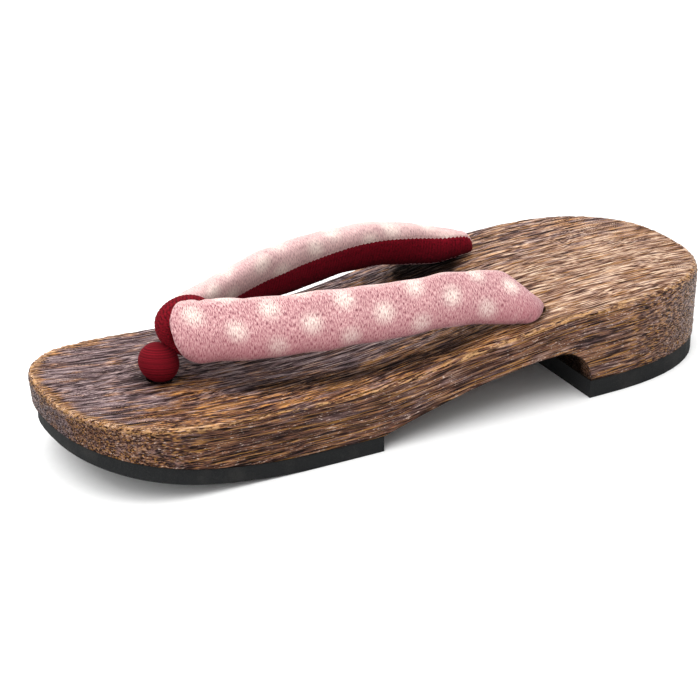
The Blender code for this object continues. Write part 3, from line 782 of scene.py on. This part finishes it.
def skin(name, rings, materials, face_material=None, places=None, closed=False):
    """A skin over an array of rings (rings, points, 3), with a point at each end or closed on itself."""
    count, sides = rings.shape[:2]
    points = rings.reshape(-1, 3)
    faces = []
    slots = []
    for r in range(count if closed else count - 1):
        low = r * sides
        high = (r + 1) % count * sides
        for k in range(sides):
            j = (k + 1) % sides
            faces.append((low + k, low + j, high + j, high + k))
            slots.append(face_material[k] if face_material is not None else 0)
    if not closed:
        ends = np.stack([rings[0].mean(0), rings[-1].mean(0)])
        points = np.concatenate([points, ends])
        last = (count - 1) * sides
        for k in range(sides):
            j = (k + 1) % sides
            faces.append((j, k, count * sides))
            faces.append((last + k, last + j, count * sides + 1))
            slots += [slots[k], slots[k]]
        if places is not None:
            tips = np.stack([places[0].mean(0), places[-1].mean(0)])
            places = np.concatenate([places.reshape(-1, 3), tips])
    thing = new_piece(name, points, faces, materials)
    thing.data.polygons.foreach_set("material_index", slots)
    if places is not None:
        keep_values(thing.data, "cloth_place", places.reshape(-1, 3))
    return thing


ARM_SIDES = 84
ARM_STATIONS = 260
NEAR_ENDS = (PAD_REAR_X - 0.0021, STRAP_FRONT_X + 0.0042, 0.0105)
FAR_ENDS = (PAD_REAR_X - 0.0057, STRAP_FRONT_X + 0.0012, 0.0092)
FRONT_CLOSING = 0.0085
REAR_SAG = 0.9            # how far the closing rear end drops to the deck, as a share
SEAM_TOP = 0.41           # share of half width at which the upper seam's points start
SEAM_LOW = 0.86           # the lower seam, below the band's middle
SEAM_REACH = 14           # points on each side that follow the upper seam
WIDTH_POWER = 2.5         # of the band's section: 2 is an ellipse, more is squarer
DEPTH_POWER = 2.4
LINING_FLATNESS = 0.86
TOOTH = 1.6 * MM          # length of one tooth of the sewn edge
TOOTH_HEIGHT = 0.34 * MM

# Puckers in the padding: mm from the rear end, degrees round the band from its face, depth, length and width
PUCKERS = (
    (10.5, -78, 0.9, 1.1, 16), (14.0, -96, 0.6, 1.4, 14), (7.0, 60, 0.5, 1.2, 16),
    (118.0, 78, 0.55, 1.0, 20), (122.0, 100, 0.6, 0.9, 18), (114.0, 95, 0.4, 1.1, 16),
    (125.0, -70, 0.35, 1.2, 18), (104.0, 84, 0.25, 1.6, 18),
)


def arm_place(s, table):
    """Place and size of the arm's sections at the distances s: y, z, half width, half thickness, lean."""
    along = np.clip((s - PAD_REAR_X) / (STRAP_FRONT_X - PAD_REAR_X), 0.0, 1.0)
    spread, clear, width, thickness, lean = (
        read_table([(row[0], row[column]) for row in table], along) for column in range(1, 6)
    )
    half_width = 0.5 * STRAP_WIDTH * width
    half_thickness = 0.5 * STRAP_THICKNESS * thickness
    turn = np.radians(lean)
    half_height = np.hypot(half_width * np.cos(turn), half_thickness * np.sin(turn))
    lower_edge = deck_height(s) + 2 * GLUE_GAP + np.maximum(clear, 0.0) * STRAP_CLEAR
    return spread * REAR_HOLE_SPREAD / 2, lower_edge + half_height, half_width, half_thickness, turn


def build_arm(name, side, table, seams, ends, cover):
    """One padded arm of the strap: crepe outside and over the edges, velvet on the foot's side."""
    rear_end, front_end, rear_closing = ends
    even = np.linspace(rear_end, front_end, ARM_STATIONS)
    crowded = rear_end + (front_end - rear_end) * 0.5 * (1 - np.cos(np.linspace(0, math.pi, ARM_STATIONS)))
    s = 0.6 * even + 0.4 * crowded
    s[0] += 0.02 * MM
    s[-1] -= 0.02 * MM
    y, z, half_width, half_thickness, lean = arm_place(s, table)
    rear = np.clip(1 - (s - rear_end) / rear_closing, 0, 1)
    front = np.clip(1 - (front_end - s) / FRONT_CLOSING, 0, 1)
    rear_share = (1 - rear ** 2.2) ** (1 / 2.2)
    closing = rear_share * (1 - front ** 2.3) ** (1 / 2.3)
    thick_closing = (1 - rear ** 2.0) ** 0.5 * (1 - front ** 2.1) ** (1 / 2.1)
    half_height = np.hypot(half_width * np.cos(lean), half_thickness * np.sin(lean))
    z = z - half_height * (1 - rear_share) * REAR_SAG
    # angle 0 is the middle of the face, 90 degrees the upper edge and 180 the foot's side
    even_angle = 2 * math.pi * np.arange(ARM_SIDES) / ARM_SIDES
    top_seam = round(ARM_SIDES * (math.pi - math.asin(SEAM_TOP ** (WIDTH_POWER / 2))) / (2 * math.pi))
    low_seam = round(ARM_SIDES * (math.pi + math.asin(SEAM_LOW ** (WIDTH_POWER / 2))) / (2 * math.pi))
    seam_angle = math.pi - np.arcsin(read_table(seams, s) ** (WIDTH_POWER / 2))
    follow = ease(abs(np.arange(ARM_SIDES) - top_seam), SEAM_REACH, 0)
    angle = even_angle[None, :] + (seam_angle - even_angle[top_seam])[:, None] * follow[None, :]
    up = np.sign(np.sin(angle)) * abs(np.sin(angle)) ** (2 / WIDTH_POWER)
    out = np.sign(np.cos(angle)) * abs(np.cos(angle)) ** (2 / DEPTH_POWER)
    out = np.where(out < 0, LINING_FLATNESS * out, out)
    w = half_width[:, None] * closing[:, None] * up
    t = half_thickness[:, None] * thick_closing[:, None] * out
    away = np.stack([t, w], 2)
    reach = np.linalg.norm(away, axis=2, keepdims=True) + 1e-9
    outward = away / reach
    centre = np.stack([s, y, z], 1)
    length = np.concatenate([[0], np.cumsum(np.linalg.norm(np.diff(centre, axis=0), axis=1))])
    from_rear = length[:, None] / MM
    from_front = (length[-1] - length)[:, None] / MM
    degrees = np.degrees(np.where(even_angle > math.pi, even_angle - 2 * math.pi, even_angle))[None, :]
    # Soft unevenness of the padding, gathers at both ends, and puckers
    puff = 0.16 * np.sin(from_rear / 3.6 + 1.1 * side) * np.cos(2 * even_angle[None, :] + 0.4)
    puff = puff + 0.12 * np.sin(from_rear / 2.3 + 2.0 * even_angle[None, :] + side)
    gathers = 0.30 * np.exp(-from_rear / 3.5) * np.cos(9 * even_angle[None, :] + 0.7)
    gathers = gathers + 0.20 * np.exp(-from_front / 3.0) * np.cos(13 * even_angle[None, :] + side)
    moved = puff + gathers
    for start, round_at, depth, long, wide in PUCKERS:
        turned = (degrees - round_at + 180) % 360 - 180
        slanted = from_rear - start + turned * 0.02
        moved = moved - depth * np.exp(-(slanted / long) ** 2 - (turned / wide) ** 2)
    # The sewn edge of the lining: drawn in, with teeth
    tooth = (abs((length / TOOTH) % 1.0 - 0.5) * 4 - 1)[:, None] * TOOTH_HEIGHT
    for seam in (top_seam, low_seam):
        near = np.clip(1 - abs(np.arange(ARM_SIDES) - seam) / 3.0, 0, 1)[None, :]
        moved = moved - 0.30 * near ** 2
        w = w + tooth * near * closing[:, None]
    shrink = np.minimum(closing, 1.0)[:, None]
    t = t + outward[:, :, 0] * moved * MM * shrink
    w = w + outward[:, :, 1] * moved * MM * shrink
    cos, sin = np.cos(lean)[:, None], np.sin(lean)[:, None]
    rings = np.empty((ARM_STATIONS, ARM_SIDES, 3))
    rings[:, :, 0] = (s - LENGTH / 2)[:, None]
    rings[:, :, 1] = side * (y[:, None] + t * cos - w * sin)
    rings[:, :, 2] = z[:, None] + t * sin + w * cos
    # Place on the cloth: mm along the arm, mm round it from its face, and the share down the lining
    gaps = np.linalg.norm(np.roll(rings, -1, 1) - rings, axis=2)
    round_mm = np.concatenate([np.zeros((ARM_STATIONS, 1)), np.cumsum(gaps, 1)[:, :-1]], 1)
    around = gaps.sum(1)[:, None]
    round_mm = np.where(round_mm > around / 2, round_mm - around, round_mm) / MM
    down = np.clip((np.arange(ARM_SIDES) - top_seam) / (low_seam - top_seam), 0, 1)[None, :]
    places = np.stack(np.broadcast_arrays(from_rear, round_mm, down), 2)
    low, high = sorted((top_seam, low_seam))
    lined = [1 if low <= k < high else 0 for k in range(ARM_SIDES)]
    return skin(name, rings, [cover, velvet], lined, places)


def tube(name, path, radii, sides, materials, closed=False, ribs=None, up=(0, 1, 0)):
    """A cord along a path: radii are (in the bend's plane, across it) arrays or numbers."""
    path = np.asarray(path, float)
    if closed:
        ahead = np.roll(path, -1, 0) - np.roll(path, 1, 0)
        steps = np.linalg.norm(np.roll(path, -1, 0) - path, axis=1)
    else:
        ahead = np.gradient(path, axis=0)
        steps = np.linalg.norm(np.diff(path, axis=0), axis=1)
        steps = np.append(steps, 0.0)
    ahead /= np.linalg.norm(ahead, axis=1, keepdims=True)
    across = np.broadcast_to(np.array(up, float), path.shape)
    across = across - ahead * (across * ahead).sum(1, keepdims=True)
    across /= np.linalg.norm(across, axis=1, keepdims=True)
    radial = np.cross(across, ahead)
    length = (np.concatenate([[0], np.cumsum(steps)[:-1]]) / MM)[:, None]
    angle = (2 * math.pi * np.arange(sides) / sides)[None, :]
    in_plane = np.broadcast_to(radii[0], len(path))[:, None]
    sideways = np.broadcast_to(radii[1], len(path))[:, None]
    bump = 0.0 if ribs is None else ribs(length, angle) * MM
    a = (in_plane + bump) * np.cos(angle)
    b = (sideways + bump) * np.sin(angle)
    rings = path[:, None, :] + a[:, :, None] * radial[:, None, :] + b[:, :, None] * across[:, None, :]
    mean = 0.5 * (in_plane + sideways) / MM
    round_mm = np.where(angle > math.pi, angle - 2 * math.pi, angle) * mean
    places = np.stack([np.broadcast_to(length, round_mm.shape), round_mm, np.zeros(round_mm.shape)], 2)
    return skin(name, rings, materials, None, places, closed)


def joint_height():
    """Height of the middle of the joint of the two arms."""
    return float(arm_place(np.array([JOINT_X]), NEAR_ARM)[1][0]) - JOINT_DROP


LOOP_LIFT = 2.1 * MM      # widest part of the loop above the middle of the joint


def build_loop():
    """The velvet cord round the strap's joint: an egg, widest above its middle, drawn in at the roll."""
    count = 280
    around = 2 * math.pi * np.arange(count) / count
    cord = THONG_THICKNESS / 2
    reach_x = JOINT_LENGTH / 2 + CORD_CLEARANCE + cord
    reach_z = JOINT_HEIGHT / 2 + CORD_CLEARANCE + cord
    reach_z = np.where(np.sin(around) > 0, reach_z - LOOP_LIFT, reach_z + LOOP_LIFT)
    x = JOINT_X - LENGTH / 2 + reach_x * np.cos(around)
    z = joint_height() + LOOP_LIFT + reach_z * np.sin(around)
    path = np.stack([x, np.zeros(count), z], 1)
    cinch = ease(abs((around + 0.95 + math.pi) % (2 * math.pi) - math.pi), 0.9, 0.15)
    thin = 1.0 - 0.22 * cinch

    def ribs(length, angle):
        return 0.05 * np.sin(2 * math.pi * (length / 0.95 + 0.25 * np.sin(angle))) - 0.05

    sizes = (cord * thin, THONG_WIDTH / 2 * thin)
    return tube("toe_thong_loop", path, sizes, 44, [cord_velvet], closed=True, ribs=ribs)


def build_roll():
    """The padded velvet roll where the thong meets the deck: a ball with slanting ribs."""
    rim = float(deck_height(np.array([FRONT_HOLE_X + FRONT_HOLE_RADIUS]))[0]) + GLUE_GAP
    middle = rim + math.sqrt(ROLL_RADIUS ** 2 - FRONT_HOLE_RADIUS ** 2) + GLUE_GAP
    levels, sides = 110, 100
    turn = np.linspace(0.02, math.pi - 0.02, levels)[:, None]
    angle = (2 * math.pi * np.arange(sides) / sides)[None, :]
    girth = ROLL_RADIUS / MM
    ribs = 0.035 * np.sin(2 * math.pi * (turn * girth / 0.95 + 1.1 * np.sin(angle + 0.6)))
    radius = (girth + ribs * np.sin(turn) - 0.05) * MM
    x = radius * np.sin(turn) * np.cos(angle)
    y = radius * np.sin(turn) * np.sin(angle)
    z = radius * np.cos(turn)
    lean = 0.10 * z
    rings = np.stack([x + lean + FRONT_HOLE_X - LENGTH / 2, y, z + middle], 2)
    along = turn * girth + 1.05 * np.sin(angle + 0.6)
    places = np.stack([along, np.zeros(along.shape), np.zeros(along.shape)], 2)
    return skin("toe_thong_roll", rings, [cord_velvet], None, places)


def build_joint():
    """The gathered joint of the two arms, inside the thong's loop."""
    levels, sides = 60, 64
    turn = np.linspace(0.03, math.pi - 0.03, levels)[:, None]
    angle = (2 * math.pi * np.arange(sides) / sides)[None, :]
    reach = THONG_WIDTH / 2 + STRAP_THICKNESS * JOINT_GRIP
    gather = 1 + 0.05 * np.cos(11 * angle) * np.sin(turn)
    x = JOINT_LENGTH / 2 * np.sin(turn) * np.cos(angle) * gather
    z = JOINT_HEIGHT / 2 * np.sin(turn) * np.sin(angle) * gather
    y = reach * np.cos(turn) + 0 * angle
    rings = np.stack([x + JOINT_X - LENGTH / 2, y, z + joint_height()], 2)
    places = np.stack([y / MM + 60, angle * 3.8 + 0 * y, 0 * y], 2)
    return skin("strap_joint", rings, [crepe_near], None, places)


def build_tail(name, side, table):
    """The strap's tail, from inside the arm through its rear hole, ending in a flat knot under the arch."""
    y = side * REAR_HOLE_SPREAD / 2
    x = REAR_HOLE_X - LENGTH / 2
    hole = np.array([REAR_HOLE_X])
    arm_y, arm_z = (float(value[0]) for value in arm_place(hole, table)[:2])
    deck = float(deck_height(hole)[0])
    bottom = float(wood_underside(hole)[0]) - 2 * GLUE_GAP
    height = np.linspace(min(arm_z, deck + 1.8 * MM), bottom - 1.2 * MM, 60)
    sideways = y + (side * arm_y - y) * ease(height, deck - 0.5 * MM, deck + 4.5 * MM)
    path = np.stack([np.full(60, x), sideways, height], 1)
    radius = (REAR_HOLE_RADIUS - TAIL_SLACK) * (1 - 0.45 * ease(height, deck - 3 * MM, deck - 0.5 * MM))

    def strands(length, angle):
        return 0.22 * abs(np.sin(1.5 * angle + length * 0.9)) - 0.2

    tail = tube(name + "_tail", path, (radius, radius), 48, [cotton], ribs=strands)
    turn = 2 * math.pi * np.arange(150) / 150
    cord = 1.75 * MM
    wide = KNOT_RADIUS - cord
    tall = KNOT_HEIGHT / 2 - cord
    knot = np.stack([
        x + wide * (np.sin(turn) + 2 * np.sin(2 * turn)) / 3,
        y + wide * (np.cos(turn) - 2 * np.cos(2 * turn)) / 3,
        bottom - KNOT_HEIGHT / 2 - tall * np.sin(3 * turn),
    ], 1)
    sizes = (cord, cord)
    return tail, tube(name + "_knot", knot, sizes, 28, [cotton], closed=True, ribs=strands, up=(0, 0, 1))


base_wood = build_base()
near_arm = build_arm("strap_near_arm", 1, NEAR_ARM, NEAR_SEAM, NEAR_ENDS, crepe_near)
far_arm = build_arm("strap_far_arm", -1, FAR_ARM, FAR_SEAM, FAR_ENDS, crepe_far)
strap_joint = build_joint()
thong_loop = build_loop()
thong_roll = build_roll()
near_tail, near_knot = build_tail("strap_near", 1, NEAR_ARM)
far_tail, far_knot = build_tail("strap_far", -1, FAR_ARM)

strap_pieces = (near_arm, far_arm, strap_joint, near_tail, near_knot, far_tail, far_knot)
thong_pieces = (thong_loop, thong_roll)
for piece in (base_wood, *strap_pieces, *thong_pieces):
    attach(piece, "root")
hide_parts("wooden_base")
for piece in strap_pieces:
    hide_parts("strap")
for piece in thong_pieces:
    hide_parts("toe_thong")
for node in ("front_rubber_sole", "heel_rubber_sole"):
    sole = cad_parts[node]
    for sole_slot in sole.material_slots:
        sole_slot.material = rubber


# Floor, light and camera

def build_floor():
    """A wide white floor that the soles stand on."""
    bm = bmesh.new()
    bmesh.ops.create_grid(bm, x_segments=8, y_segments=8, size=4.0)
    mesh = bpy.data.meshes.new("floor")
    bm.to_mesh(mesh)
    bm.free()
    mesh.materials.append(pale_floor())
    floor = bpy.data.objects.new("floor", mesh)
    floor.location.z = -0.0001
    bpy.context.scene.collection.objects.link(floor)


def soft_light(name, place, aim, size, power):
    """A square soft light that faces a point."""
    lamp = bpy.data.lights.new(name, "AREA")
    lamp.shape = "SQUARE"
    lamp.size = size
    lamp.energy = power
    thing = bpy.data.objects.new(name, lamp)
    thing.location = place
    thing.rotation_euler = (Vector(aim) - Vector(place)).to_track_quat("-Z", "Y").to_euler()
    bpy.context.scene.collection.objects.link(thing)


def build_camera():
    """The photograph's camera: its place and lens as measured from the base's outline."""
    azimuth, elevation, roll = math.radians(150.967), math.radians(25.348), math.radians(0.2565)
    back = Vector((
        math.sin(azimuth) * math.cos(elevation), -math.cos(azimuth) * math.cos(elevation), math.sin(elevation)
    ))
    right = Vector((math.cos(azimuth), math.sin(azimuth), 0.0))
    up = back.cross(right)
    x_axis = right * math.cos(roll) - up * math.sin(roll)
    y_axis = right * math.sin(roll) + up * math.cos(roll)
    camera = bpy.data.cameras.new("camera")
    camera.sensor_width = 36.0
    camera.lens = 131.68
    camera.clip_start = 0.01
    camera.clip_end = 50.0
    thing = bpy.data.objects.new("camera", camera)
    turn = Matrix((x_axis, y_axis, back)).transposed().to_4x4()
    thing.matrix_world = Matrix.Translation((0.3835, 0.6723, 0.3821)) @ turn
    bpy.context.scene.collection.objects.link(thing)
    bpy.context.scene.camera = thing


build_floor()
soft_light("overhead", (0.0, -0.15, 1.1), (0.0, 0.0, 0.0), 2.4, 36.0)
soft_light("toe_side", (1.0, 0.5, 0.7), (0.05, 0.0, 0.02), 1.0, 8.0)
build_camera()
world = bpy.data.worlds.new("studio")
world.use_nodes = True
world.node_tree.nodes["Background"].inputs["Color"].default_value = (1.0, 1.0, 1.0, 1.0)
world.node_tree.nodes["Background"].inputs["Strength"].default_value = 0.6
bpy.context.scene.world = world
bpy.context.scene.view_settings.view_transform = "Standard"
